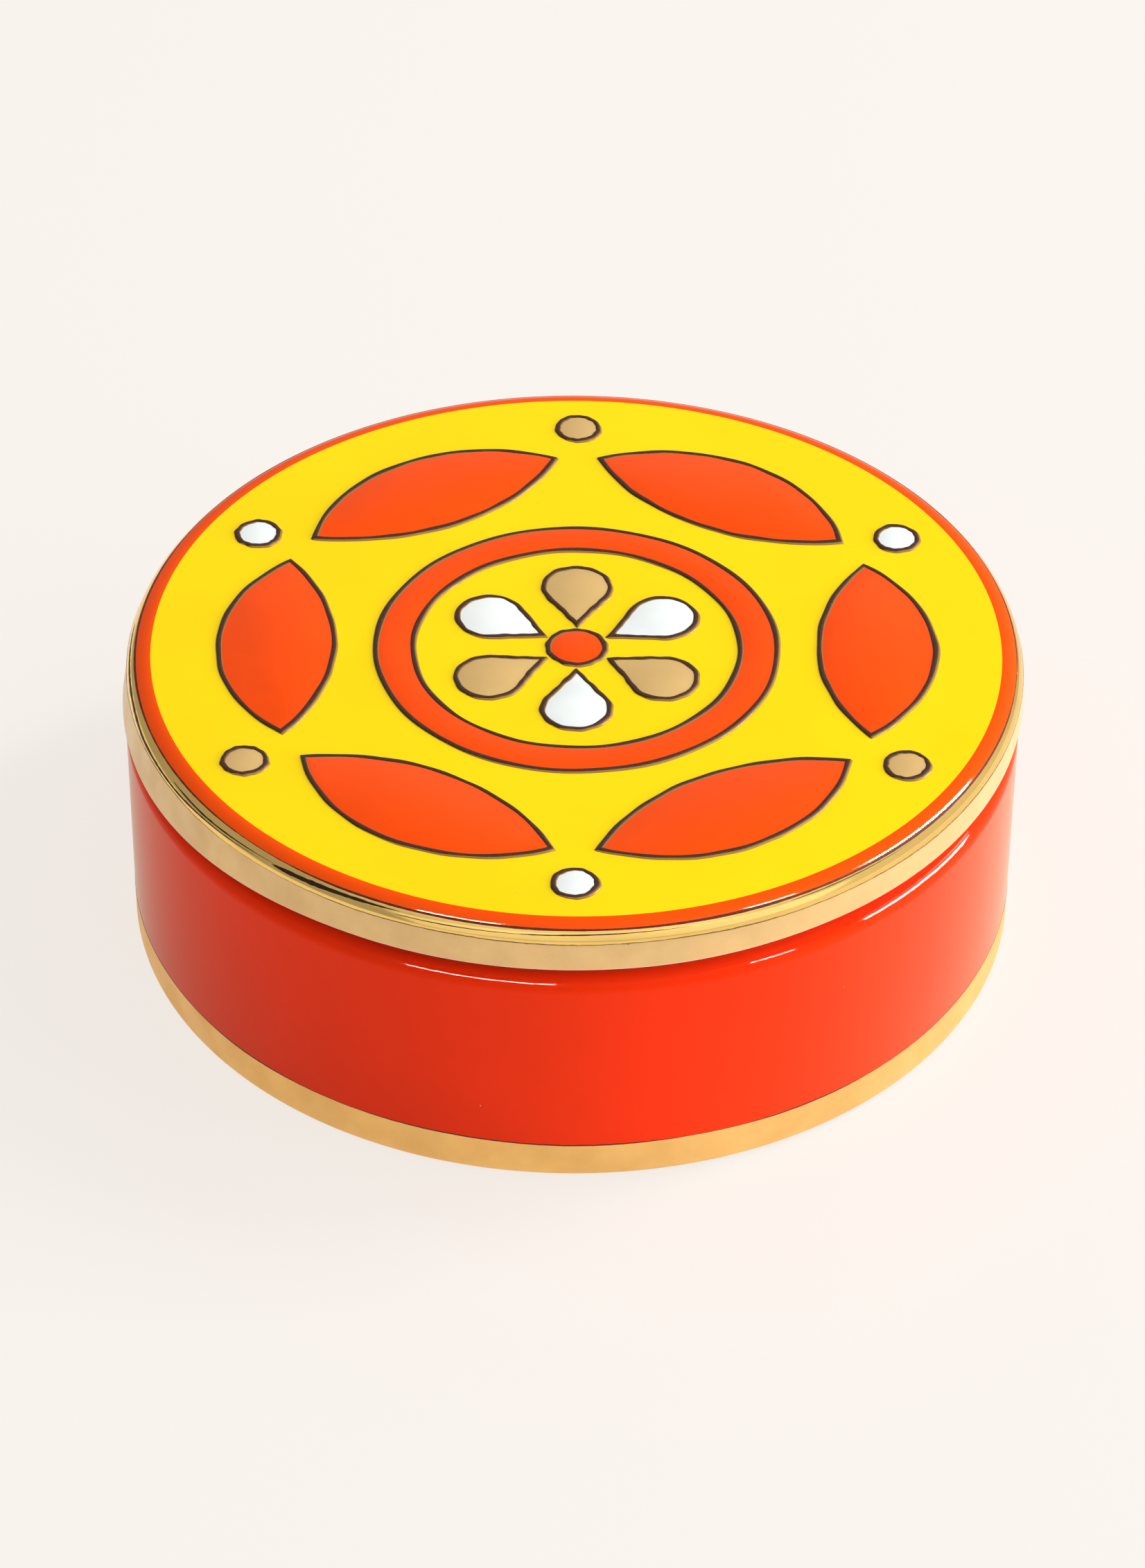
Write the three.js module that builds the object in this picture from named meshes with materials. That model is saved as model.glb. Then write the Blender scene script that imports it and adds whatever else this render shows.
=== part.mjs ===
// A round porcelain keepsake box with a lift-off lid, 160 mm across and 56 mm high.
// The lid is a flat plate with a crowned, rounded edge and a ring under it that drops inside the wall.
// The base is a bowl with a turned foot ring. A ledge and a low neck lie between its wall and its flat rim.
// Glazes, gold lustre and enamel are layers of their own, because each is put on and fired by itself.
// Millimetres, +Z up, origin at the middle of the foot's underside.

import * as THREE from "three";

// Driving dimensions of the base
const bodyRadius = 79.5; // outside of the glazed wall, at the shoulder
const footTaper = 0.7; // the wall narrows by this much down to its foot
const rimHeight = 46.6; // table to the flat rim that the lid rests on
const wallThickness = 6.8;
const floorThickness = 5.2;
const shoulderHeight = 41.9; // table to where the wall turns in
const shoulderRadius = 2.0; // the round from the wall to the ledge
const shoulderAngle = 75; // degrees of that round; the ledge rises by the rest of 90
const neckInset = 3.2; // wall to the neck that stands on the ledge
const neckFillet = 0.8; // ledge to neck
const glazeStop = 0.5; // the glaze ends this far below the rim
const rimInnerRound = 0.8;
const insideFillet = 4.0; // wall to floor, inside
const footBandHeight = 7.5; // gold band round the foot
const footRound = 1.7; // the round under the foot's outer edge
const footRingWidth = 5.0; // bare ring that stands on the table
const footRecess = 1.8; // the underside lies this far above the table
const edgeAngle = 60; // degrees of the round under the foot and under the lid's side

// Driving dimensions of the lid
const lidOverhang = 0.5; // the lower edge of the lid's side stands this far outside the wall
const lidThickness = 5.0;
const sideHeight = 5.1; // the bare side of the lid
const sideLean = 8; // degrees that the side leans in, going up
const crownRadius = 5.0; // the gentle fall outside the flat top
const crownAngle = 33; // degrees from level where the crown meets the corner round
const cornerRadius = 3.1; // from the crown to the side
const lidEdgeRound = 0.6;
const bareStep = 0.15; // the unglazed side lies this far inside the glazed edge
const skirtRelief = 1.0; // the lid's outer edge hangs this far above its seat
const seatOverhang = 0.6; // the lid's seat reaches this far outside the neck
const ringHeight = 4.0; // the locating ring under the lid
const ringThickness = 3.6;
const ringPlay = 0.6; // between the locating ring and the inside of the wall
const ringRound = 0.8;
const lidFillet = 2.0; // plate to locating ring, inside

// Layers
const glazeThickness = 0.4;
const goldThickness = 0.25;
const enamelThickness = 0.2;
const outlineThickness = 0.32;
const layerGap = 0.02; // between a layer and what it covers

// Motifs on the lid: a rosette in a ring, and round it a wreath of leaves with a disc between their tips
const discInset = 8.9; // edge of the flat top to the middle of a disc
const discRadius = 3.7;
const leafCount = 6;
const leafInset = 15.0; // middle of a disc, inwards, to the line between a leaf's two tips
const leafTipGap = 4.8; // half the gap between two leaves, along that line
const leafOuterRise = 12.0; // bulge of a leaf's edge outside that line
const leafInnerRise = 8.5; // and inside it
const haloInset = 7.5; // leaves to the ring round the rosette
const haloWidth = 6.5;
const petalCount = 6;
const petalInset = 5.4; // ring to a petal's round end
const petalGap = 3.0; // half the gap between two petals
const eyeRadius = 5.0; // disc in the middle of the rosette
const eyeGap = 2.0; // disc to a petal's tip
const outlineWidth = 0.8;
const enamelGap = 0.05; // between a colour and its outline

// Steps round each form
const around = 56;
const shoulderSteps = 3;
const cornerSteps = 4;
const roundSteps = 2;
const leafSteps = 7;
const petalSteps = 7;
const discSteps = 14;
const haloSteps = 48;

// Sizes that follow from the ones above
const neckRadius = bodyRadius - neckInset;
const innerRadius = bodyRadius - wallThickness;
const floorHeight = footRecess + floorThickness;
const lidRadius = bodyRadius + lidOverhang;
const skirtHeight = rimHeight + skirtRelief;
const sideTop = skirtHeight + sideHeight;
const sideFall = (sideHeight - lidEdgeRound) * (sine(sideLean) / cosine(sideLean));
const glazedEdge = lidRadius - sideFall + bareStep; // where the glaze ends, at the top of the side
const cornerCentre = glazedEdge - cornerRadius * cosine(sideLean);
const cornerHeight = sideTop - cornerRadius * sine(sideLean);
const flatRadius = cornerCentre + (cornerRadius - crownRadius) * sine(crownAngle);
const crownHeight = cornerHeight + (cornerRadius - crownRadius) * cosine(crownAngle);
const lidTop = crownHeight + crownRadius;
const underGlaze = glazeThickness + layerGap;
const underGold = goldThickness + layerGap;
const discOrbit = flatRadius - discInset;
const leafOrbit = discOrbit - leafInset;
const leafLength = 2 * ((leafOrbit * sine(180 / leafCount)) / cosine(180 / leafCount) - leafTipGap);
const haloOuter = leafOrbit - leafInnerRise - haloInset;
const haloInner = haloOuter - haloWidth;
const petalEnd = haloInner - petalInset;
const petalShare = sine(180 / petalCount); // radius of petals that touch, for each millimetre of their orbit
const petalOrbit = (petalEnd + petalGap) / (1 + petalShare);
const petalRound = petalEnd - petalOrbit;
const petalStart = eyeRadius + eyeGap;

function sine(degrees) {
  return Math.sin(THREE.MathUtils.degToRad(degrees));
}

function cosine(degrees) {
  return Math.cos(THREE.MathUtils.degToRad(degrees));
}

// Materials
function finish(color, roughness, metalness) {
  return new THREE.MeshStandardMaterial({ color, roughness, metalness });
}

const porcelain = finish(0xf3efe8, 0.35, 0);
const orangeGlaze = finish(0xe7430c, 0.1, 0);
const yellowGlaze = finish(0xffd91f, 0.1, 0);
const glossGold = finish(0xe6bc6a, 0.12, 1);
const satinGold = finish(0xdfb878, 0.42, 1);
const orangeEnamel = finish(0xff5722, 0.12, 0);
const whiteEnamel = finish(0xf2f7f6, 0.12, 0);
const tanEnamel = finish(0xe8c27f, 0.4, 0.5);
const brownEnamel = finish(0x4a2e1d, 0.3, 0);

// Turned forms
// A profile is a list of radius and height. It runs out along the underside, up the outside and back in.

function point(radius, height) {
  return new THREE.Vector2(radius, height);
}

// An arc of a profile about a centre, with its angles in degrees from level, outwards.
function arc(radius, height, arcRadius, from, to, steps) {
  const points = [];
  for (let i = 0; i <= steps; i++) {
    const angle = from + ((to - from) * i) / steps;
    points.push(point(radius + arcRadius * cosine(angle), height + arcRadius * sine(angle)));
  }
  return points;
}

// A solid turned about Z, from a profile that starts and ends on the axis or closes on itself.
function turned(name, material, profile) {
  const geometry = new THREE.LatheGeometry(profile, around);
  geometry.rotateX(Math.PI / 2);
  const mesh = new THREE.Mesh(geometry, material);
  mesh.name = name;
  return mesh;
}

// A turned layer between its outer profile and the same profile drawn further in.
function layer(name, material, outer, inner) {
  return turned(name, material, [...outer, ...inner.reverse(), outer[0]]);
}

// The base

// The outside of the wall between its foot and its shoulder.
function wallRadius(height) {
  return bodyRadius - footTaper * ((shoulderHeight - height) / (shoulderHeight - footRound));
}

// The outside of the foot, drawn in by inset: the round at the table, then up to the band's top.
function footProfile(inset) {
  const radius = wallRadius(footRound) - inset;
  return [
    ...arc(radius - footRound, footRound, footRound, -edgeAngle, 0, roundSteps),
    point(wallRadius(footBandHeight) - inset, footBandHeight),
  ];
}

// The outside of the wall above the band, drawn in by inset: up, round to the ledge, and up the neck.
function wallProfile(inset, bottom) {
  const roundAt = bodyRadius - shoulderRadius;
  const filletAt = neckRadius + neckFillet;
  const across = filletAt - roundAt;
  const apart = shoulderRadius + neckFillet;
  const filletHeight = shoulderHeight + (apart - across * cosine(shoulderAngle)) / sine(shoulderAngle);
  return [
    point(wallRadius(bottom) - inset, bottom),
    ...arc(roundAt, shoulderHeight, shoulderRadius - inset, 0, shoulderAngle, shoulderSteps),
    ...arc(filletAt, filletHeight, neckFillet + inset, 180 + shoulderAngle, 180, roundSteps),
    point(neckRadius - inset, rimHeight - glazeStop),
  ];
}

function baseBody() {
  const footOuter = wallRadius(footRound) - footRound;
  const footInner = footOuter - footRingWidth;
  const rimRoundAt = innerRadius + rimInnerRound;
  const filletAt = innerRadius - insideFillet;
  return turned("base_body", porcelain, [
    point(0, footRecess),
    point(footInner - footRecess, footRecess),
    point(footInner, 0),
    point(footOuter, 0),
    ...footProfile(underGold),
    ...wallProfile(underGlaze, footBandHeight).slice(0, -1),
    point(neckRadius - underGlaze, rimHeight),
    ...arc(rimRoundAt, rimHeight - rimInnerRound, rimInnerRound, 90, 180, roundSteps),
    ...arc(filletAt, floorHeight + insideFillet, insideFillet, 0, -90, cornerSteps),
    point(0, floorHeight),
  ]);
}

function baseGlaze() {
  const bottom = footBandHeight + layerGap;
  const outer = wallProfile(0, bottom);
  return layer("base_orange_glaze", orangeGlaze, outer, wallProfile(glazeThickness, bottom));
}

function footBand() {
  return layer("foot_gold_band", satinGold, footProfile(0), footProfile(goldThickness));
}

// The lid

// The leaning side, drawn in by inset, from the round at its lower edge.
function sideProfile(inset) {
  const radius = lidRadius - inset;
  const roundAt = skirtHeight + lidEdgeRound;
  return [
    ...arc(radius - lidEdgeRound, roundAt, lidEdgeRound, -edgeAngle, 0, roundSteps),
    point(radius - sideFall, sideTop),
  ];
}

// The round from the side to the crown, and the crown from there to the flat top, drawn in by inset.
function cornerProfile(inset) {
  const radius = cornerRadius - inset;
  return arc(cornerCentre, cornerHeight, radius, sideLean, 90 - crownAngle, cornerSteps);
}

function crownProfile(inset) {
  const radius = crownRadius - inset;
  return arc(flatRadius, crownHeight, radius, 90 - crownAngle, 90, roundSteps);
}

function lidBody() {
  const underside = lidTop - lidThickness;
  const ringOuter = innerRadius - ringPlay;
  const ringInner = ringOuter - ringThickness;
  const ringRoundAt = rimHeight - ringHeight + ringRound;
  const seatOuter = neckRadius + seatOverhang;
  const skirtOuter = lidRadius - lidEdgeRound;
  return turned("lid_body", porcelain, [
    point(0, underside),
    ...arc(ringInner - lidFillet, underside - lidFillet, lidFillet, 90, 0, roundSteps),
    ...arc(ringInner + ringRound, ringRoundAt, ringRound, 180, 270, roundSteps),
    ...arc(ringOuter - ringRound, ringRoundAt, ringRound, -90, 0, roundSteps),
    point(ringOuter, rimHeight),
    point(seatOuter, rimHeight),
    point(seatOuter + skirtRelief, skirtHeight),
    point(skirtOuter, skirtHeight),
    ...sideProfile(underGold),
    ...cornerProfile(underGlaze).slice(1),
    ...crownProfile(underGlaze).slice(1),
    point(0, lidTop - underGlaze),
  ]);
}

function lidSideBand() {
  return layer("lid_bare_gold_band", satinGold, sideProfile(0), sideProfile(goldThickness));
}

function lidCornerBand() {
  const outer = cornerProfile(0);
  const inner = cornerProfile(glazeThickness);
  outer[0].y = sideTop + layerGap;
  inner[0].y = sideTop + layerGap;
  return layer("lid_glazed_gold_band", glossGold, outer, inner);
}

function lidBorder() {
  return layer("lid_orange_border", orangeGlaze, crownProfile(0), crownProfile(glazeThickness));
}

function lidField() {
  return turned("lid_yellow_field", yellowGlaze, [
    point(0, lidTop - glazeThickness),
    point(flatRadius, lidTop - glazeThickness),
    point(flatRadius, lidTop),
    point(0, lidTop),
  ]);
}

// Motifs
// Each outline is a list of points about the middle of the lid, on the +X side, grown by a margin.

function discOutline(centre, radius, steps) {
  return arc(centre, 0, radius, 0, 360 - 360 / steps, steps - 1);
}

// A petal is a round end and the two straight sides that run from it to a point.
function petalOutline(margin) {
  const lean = THREE.MathUtils.radToDeg(Math.asin(petalRound / (petalOrbit - petalStart)));
  const turn = 90 + lean;
  const tip = point(petalStart - margin / sine(lean), 0);
  return [tip, ...arc(petalOrbit, 0, petalRound + margin, -turn, turn, petalSteps)];
}

// A leaf is what two circles share: one bounds its outer edge, the other its inner edge.
function leafOutline(margin) {
  const outerRadius = bowRadius(leafLength, leafOuterRise);
  const innerRadius = bowRadius(leafLength, leafInnerRise);
  const outerCentre = leafOrbit + leafOuterRise - outerRadius;
  const innerCentre = leafOrbit - leafInnerRise + innerRadius;
  return circlesShare(outerCentre, outerRadius + margin, innerCentre, innerRadius + margin);
}

function bowRadius(chord, rise) {
  return (chord * chord) / (8 * rise) + rise / 2;
}

// The outline shared by two circles whose centres lie on the X axis, the first one nearer its start.
function circlesShare(nearCentre, nearRadius, farCentre, farRadius) {
  const apart = farCentre - nearCentre;
  const reach = (apart * apart + nearRadius * nearRadius - farRadius * farRadius) / (2 * apart);
  const near = THREE.MathUtils.radToDeg(Math.acos(reach / nearRadius));
  const far = THREE.MathUtils.radToDeg(Math.acos((apart - reach) / farRadius));
  return [
    ...arc(nearCentre, 0, nearRadius, -near, near, leafSteps),
    ...arc(farCentre, 0, farRadius, 180 - far, 180 + far, leafSteps).slice(1, -1),
  ];
}

// A flat plate of enamel on the glazed top, turned to its place round the lid.
function plate(name, material, thickness, turn, outline, hole) {
  const shape = new THREE.Shape(outline);
  if (hole) shape.holes.push(new THREE.Path(hole));
  const geometry = new THREE.ExtrudeGeometry(shape, { depth: thickness, bevelEnabled: false });
  const mesh = new THREE.Mesh(geometry, material);
  mesh.name = name;
  mesh.position.z = lidTop;
  mesh.rotation.z = THREE.MathUtils.degToRad(turn);
  return mesh;
}

// A motif's colour and the line round it. draw gives the motif's outline grown by a margin.
function motif(name, material, turn, draw) {
  const half = outlineWidth / 2;
  return [
    plate(name, material, enamelThickness, turn, draw(-half - enamelGap)),
    plate(name + "_outline", brownEnamel, outlineThickness, turn, draw(half), draw(-half)),
  ];
}

// The ring round the rosette: a band of colour between two lines.
function halo() {
  const half = outlineWidth / 2;
  const circle = (radius) => discOutline(0, radius, haloSteps);
  const line = (name, radius) =>
    plate(name, brownEnamel, outlineThickness, 0, circle(radius + half), circle(radius - half));
  const inside = half + enamelGap;
  const outer = circle(haloOuter - inside);
  return [
    plate("halo", orangeEnamel, enamelThickness, 0, outer, circle(haloInner + inside)),
    line("halo_inner_outline", haloInner),
    line("halo_outer_outline", haloOuter),
  ];
}

// Copies of a motif at even turns round the lid, from a first turn in degrees.
function repeated(name, count, first, materials, draw) {
  const copies = [];
  for (let i = 0; i < count; i++) {
    const material = materials[i % materials.length];
    copies.push(...motif(name + "_" + (i + 1), material, first + (360 * i) / count, draw));
  }
  return copies;
}

function motifs() {
  const step = 360 / leafCount;
  const whiteAndTan = [whiteEnamel, tanEnamel];
  const disc = (margin) => discOutline(discOrbit, discRadius + margin, discSteps);
  const eye = (margin) => discOutline(0, eyeRadius + margin, discSteps);
  return [
    ...motif("eye", orangeEnamel, 0, eye),
    ...repeated("petal", petalCount, step / 2, whiteAndTan, petalOutline),
    ...halo(),
    ...repeated("leaf", leafCount, 0, [orangeEnamel], leafOutline),
    ...repeated("disc", leafCount, step / 2, whiteAndTan, disc),
  ];
}

// The box, with its lid in place
const base = new THREE.Group();
base.add(baseBody(), baseGlaze(), footBand());

const lid = new THREE.Group();
lid.add(lidBody(), lidField(), lidBorder(), lidCornerBand(), lidSideBand(), ...motifs());

const box = new THREE.Group();
box.add(base, lid);

export default box;
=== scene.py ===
"""The looks of a round porcelain keepsake box with a lift-off lid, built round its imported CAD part.

Sizes are in millimetres where a name or comment doesn't say otherwise, and meshes are made in metres.
"""

import math
import random

import bpy
from mathutils import Matrix, Vector


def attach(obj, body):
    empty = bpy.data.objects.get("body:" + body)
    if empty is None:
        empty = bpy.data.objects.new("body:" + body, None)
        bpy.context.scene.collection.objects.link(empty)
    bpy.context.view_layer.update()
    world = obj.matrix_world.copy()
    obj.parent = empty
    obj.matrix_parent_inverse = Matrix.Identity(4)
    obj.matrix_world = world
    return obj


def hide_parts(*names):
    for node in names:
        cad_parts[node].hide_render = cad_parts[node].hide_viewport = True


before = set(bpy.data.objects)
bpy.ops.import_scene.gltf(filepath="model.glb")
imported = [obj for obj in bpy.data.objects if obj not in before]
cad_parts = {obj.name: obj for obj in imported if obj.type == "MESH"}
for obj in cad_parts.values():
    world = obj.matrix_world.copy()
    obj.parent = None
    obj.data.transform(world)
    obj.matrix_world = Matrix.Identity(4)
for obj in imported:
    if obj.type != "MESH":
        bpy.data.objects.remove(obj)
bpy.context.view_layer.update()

MM = 0.001
TAU = 2 * math.pi

# The base, as in the CAD source
BODY_RADIUS = 79.5
FOOT_TAPER = 0.7
RIM_HEIGHT = 46.6
WALL = 6.8
FLOOR = 5.2
SHOULDER_ANGLE = 75
NECK_INSET = 3.2
NECK_FILLET = 0.8
GLAZE_STOP = 0.5
RIM_INNER_ROUND = 0.8
INSIDE_FILLET = 4.0
FOOT_BAND = 7.5
FOOT_ROUND = 1.7
FOOT_RING = 5.0
FOOT_RECESS = 1.8
EDGE_ANGLE = 60  # degrees below level where a rounded lower edge starts

# The lid, as in the CAD source
LID_OVERHANG = 0.5
LID_THICKNESS = 5.0
SIDE_HEIGHT = 5.1
SIDE_LEAN = 8
CROWN_RADIUS = 5.0
CROWN_ANGLE = 33
CORNER_RADIUS = 3.1
LID_EDGE_ROUND = 0.6
BARE_STEP = 0.15
SKIRT_RELIEF = 1.0
SEAT_OVERHANG = 0.6
RING_HEIGHT = 4.0
RING_THICKNESS = 3.6
RING_PLAY = 0.6
RING_ROUND = 0.8
LID_FILLET = 2.0

# Layers and motifs, as in the CAD source
GLAZE = 0.4
GOLD = 0.25
ENAMEL = 0.2
OUTLINE = 0.32
LAYER_GAP = 0.02
DISC_INSET = 8.9
DISC_RADIUS = 3.7
LEAF_COUNT = 6
LEAF_INSET = 15.0
LEAF_TIP_GAP = 4.8
LEAF_OUTER_RISE = 12.0
LEAF_INNER_RISE = 8.5
HALO_INSET = 7.5
HALO_WIDTH = 6.5
PETAL_COUNT = 6
PETAL_INSET = 5.4
PETAL_GAP = 3.0
EYE_RADIUS = 5.0
EYE_GAP = 2.0

# Where this box differs from the CAD source
SHOULDER_HEIGHT = 41.5  # 41.9 in the source
SHOULDER_RADIUS = 2.4  # 2.0 in the source
INK_WIDTH = 0.95  # the dark line round a motif, 0.8 in the source
LID_OFF_CENTRE = 0.6  # the lid's top sits this far to +X of its lower edge
# Sags of the lid's lower edge: how deep, at which turn, and the degrees from there to full and to none
SAGS = [
    (2.4, 183, 13, 60),
    (0.3, 254, 24, 50),
]

# Small bevels
RIM_BEVEL = 0.3
FOOT_BEVEL = 0.3
FOOT_BEVEL_RISE = 0.08

# Thin raised lines: their width, and how proud they stand
FOOT_LINE = (0.2, 0.03)
BORDER_LINE = (0.36, 0.04)
GLAZE_END_LINE = (0.12, 0.03)
# LOWER_LINE is a painted highlight: a pale line along the lid's rounded lower edge
LOWER_LINE = (0.2, 0.02)
LOWER_LINE_ANGLE = -30  # where it runs on the rounded lower edge, in degrees from level
STREAK_PROUD = 0.012
THINNEST_LINE = 0.03

# Lines drawn by hand
DRAWN_WANDER = 0.1  # how far a line strays
DRAWN_SWELL = 0.16  # how much its width changes, as a share
COLOUR_LAP = 0.05  # how far a motif's colour reaches past the middle of its line

# How far unglazed porcelain reaches from the top of the rim, and from the underside of the foot ring
BARE_RIM = 1.2
BARE_FOOT = 1.0

# Steps round each form
AROUND = 288
ARC_STEPS = 10
SHOULDER_STEPS = 18
FILLET_STEPS = 8
CORNER_STEPS = 16
CROWN_STEPS = 12
LEAF_STEPS = 44
PETAL_STEPS = 36
SIDE_STEPS = 14
DISC_STEPS = 56
CIRCLE_STEPS = 200


def sine(degrees):
    return math.sin(math.radians(degrees))


def cosine(degrees):
    return math.cos(math.radians(degrees))


# Sizes that follow from the ones above
NECK_RADIUS = BODY_RADIUS - NECK_INSET
SEAT_OUTER = NECK_RADIUS + SEAT_OVERHANG
INNER_RADIUS = BODY_RADIUS - WALL
FLOOR_HEIGHT = FOOT_RECESS + FLOOR
LID_RADIUS = BODY_RADIUS + LID_OVERHANG
SKIRT_HEIGHT = RIM_HEIGHT + SKIRT_RELIEF
SIDE_TOP = SKIRT_HEIGHT + SIDE_HEIGHT
SIDE_FALL = (SIDE_HEIGHT - LID_EDGE_ROUND) * sine(SIDE_LEAN) / cosine(SIDE_LEAN)
CORNER_CENTRE = LID_RADIUS - SIDE_FALL + BARE_STEP - CORNER_RADIUS * cosine(SIDE_LEAN)
CORNER_HEIGHT = SIDE_TOP - CORNER_RADIUS * sine(SIDE_LEAN)
FLAT_RADIUS = CORNER_CENTRE + (CORNER_RADIUS - CROWN_RADIUS) * sine(CROWN_ANGLE)
CROWN_HEIGHT = CORNER_HEIGHT + (CORNER_RADIUS - CROWN_RADIUS) * cosine(CROWN_ANGLE)
LID_TOP = CROWN_HEIGHT + CROWN_RADIUS
UNDER_GLAZE = GLAZE + LAYER_GAP
UNDER_GOLD = GOLD + LAYER_GAP
DISC_ORBIT = FLAT_RADIUS - DISC_INSET
LEAF_ORBIT = DISC_ORBIT - LEAF_INSET
LEAF_LENGTH = 2 * (LEAF_ORBIT * math.tan(math.pi / LEAF_COUNT) - LEAF_TIP_GAP)
HALO_OUTER = LEAF_ORBIT - LEAF_INNER_RISE - HALO_INSET
HALO_INNER = HALO_OUTER - HALO_WIDTH
PETAL_SHARE = math.sin(math.pi / PETAL_COUNT)
PETAL_END = HALO_INNER - PETAL_INSET
PETAL_ORBIT = (PETAL_END + PETAL_GAP) / (1 + PETAL_SHARE)
PETAL_ROUND = PETAL_END - PETAL_ORBIT
PETAL_START = EYE_RADIUS + EYE_GAP


# Node trees

class Tree:
    """A node tree that is filled by short calls."""

    def __init__(self, tree):
        self.tree = tree
        tree.nodes.clear()

    def add(self, kind, inputs=None, **settings):
        """A node with its settings. Its inputs are set to a value, or linked to another node's output."""
        made = self.tree.nodes.new("ShaderNode" + kind)
        for name, value in settings.items():
            setattr(made, name, value)
        for name, value in (inputs or {}).items():
            if isinstance(value, bpy.types.NodeSocket):
                self.tree.links.new(value, made.inputs[name])
            else:
                made.inputs[name].default_value = value
        return made

    def math(self, operation, *values):
        return self.add("Math", dict(enumerate(values)), operation=operation).outputs[0]

    def spread(self, value, low, high, to_low=0.0, to_high=1.0, kind="SMOOTHSTEP"):
        """value taken from the span low to high onto the span to_low to to_high."""
        inputs = {"Value": value, "From Min": low, "From Max": high, "To Min": to_low, "To Max": to_high}
        return self.add("MapRange", inputs, interpolation_type=kind).outputs["Result"]

    def noise(self, where, size, detail=2.0, roughness=0.5):
        """Noise whose features are about size millimetres across, from 0 to 1."""
        inputs = {"Vector": where, "Scale": 1 / (size * MM), "Detail": detail, "Roughness": roughness}
        return self.add("TexNoise", inputs).outputs["Fac"]

    def blend(self, factor, first, second):
        inputs = {"Factor": factor, 6: first, 7: second}
        return self.add("Mix", inputs, data_type="RGBA").outputs[2]

    def bump(self, height, depth, normal=None):
        """height from 0 to 1, standing depth millimetres high."""
        inputs = {"Height": height, "Distance": depth * MM, "Strength": 1.0}
        if normal:
            inputs["Normal"] = normal
        return self.add("Bump", inputs).outputs["Normal"]


def colour(red, green, blue):
    """A colour written as it shows on screen, from 0 to 255, as the linear colour that a shader takes."""

    def straight(value):
        value /= 255
        return value / 12.92 if value <= 0.04045 else ((value + 0.055) / 1.055) ** 2.4

    return (straight(red), straight(green), straight(blue), 1.0)


def shaded(base, share):
    """The same colour, lighter or darker by a share."""
    return (*(min(1.0, part * share) for part in base[:3]), 1.0)


# The skin of a glaze, and the specks in glaze and gold
GLAZE_ROUGHNESS = 0.06
GLAZE_MOTTLE = 0.04  # how much darker its darkest tone is, as a share
GLAZE_WAVE = 0.008  # how high its skin rises and falls
SPECK_DEPTH = 0.02


def specks(tree, where, spacing, radius, chance):
    """Sparse round specks: 1 on a speck and 0 off it. radius is a share of spacing."""
    cells = tree.add("TexVoronoi", {"Vector": where, "Scale": 1 / (spacing * MM)}, feature="F1")
    picked = tree.math("LESS_THAN", cells.outputs["Color"], chance)
    near = tree.spread(cells.outputs["Distance"], radius, radius * 0.6)
    return tree.math("MULTIPLY", picked, near)


def material(name):
    made = bpy.data.materials.new(name)
    made.use_nodes = True
    tree = Tree(made.node_tree)
    where = tree.add("TexCoord").outputs["Object"]
    return made, tree, where


def surface(tree, inputs):
    shader = tree.add("BsdfPrincipled", inputs)
    tree.add("OutputMaterial", {"Surface": shader.outputs[0]})


def glaze(name, base, tint, shine, painted_shade=None):
    """A fired glossy glaze: slow changes of tone, fine mottling, pin specks and a slightly wavy skin.

    The last argument is painted shade under the lid: the heights where the darkening towards the neck
    starts and is full, and its share of tone.
    """
    made, tree, where = material(name)
    tone = tree.noise(where, 30, detail=3)
    fine = tree.noise(where, 0.9, detail=3)
    mixed = tree.blend(tree.spread(tone, 0.35, 0.65), shaded(base, 1 - GLAZE_MOTTLE), base)
    mixed = tree.blend(tree.spread(fine, 0.62, 0.75, 0, 0.2), mixed, shaded(base, 0.9))
    # Painted shade: the glaze is darkened up towards the neck, where the lid's overhang shades it
    if painted_shade:
        start, full, share = painted_shade
        height = tree.add("SeparateXYZ", {"Vector": where}).outputs["Z"]
        mixed = tree.blend(tree.spread(height, start * MM, full * MM), mixed, shaded(base, share))
    dots = specks(tree, where, spacing=6.5, radius=0.022, chance=0.4)
    mixed = tree.blend(tree.math("MULTIPLY", dots, 0.5), mixed, colour(255, 236, 210))
    pits = specks(tree, where, spacing=8.3, radius=0.016, chance=0.35)
    mixed = tree.blend(tree.math("MULTIPLY", pits, 0.6), mixed, shaded(base, 0.45))
    skin = tree.bump(tree.noise(where, 7, detail=2), GLAZE_WAVE)
    skin = tree.bump(tree.math("SUBTRACT", dots, pits), SPECK_DEPTH, skin)
    rough = tree.spread(tree.noise(where, 12), 0.3, 0.7, GLAZE_ROUGHNESS * 0.8, GLAZE_ROUGHNESS * 1.3)
    surface(tree, {
        "Base Color": mixed,
        "Roughness": rough,
        "Specular Tint": tint,
        "Normal": skin,
        **shine,
    })
    return made


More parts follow.
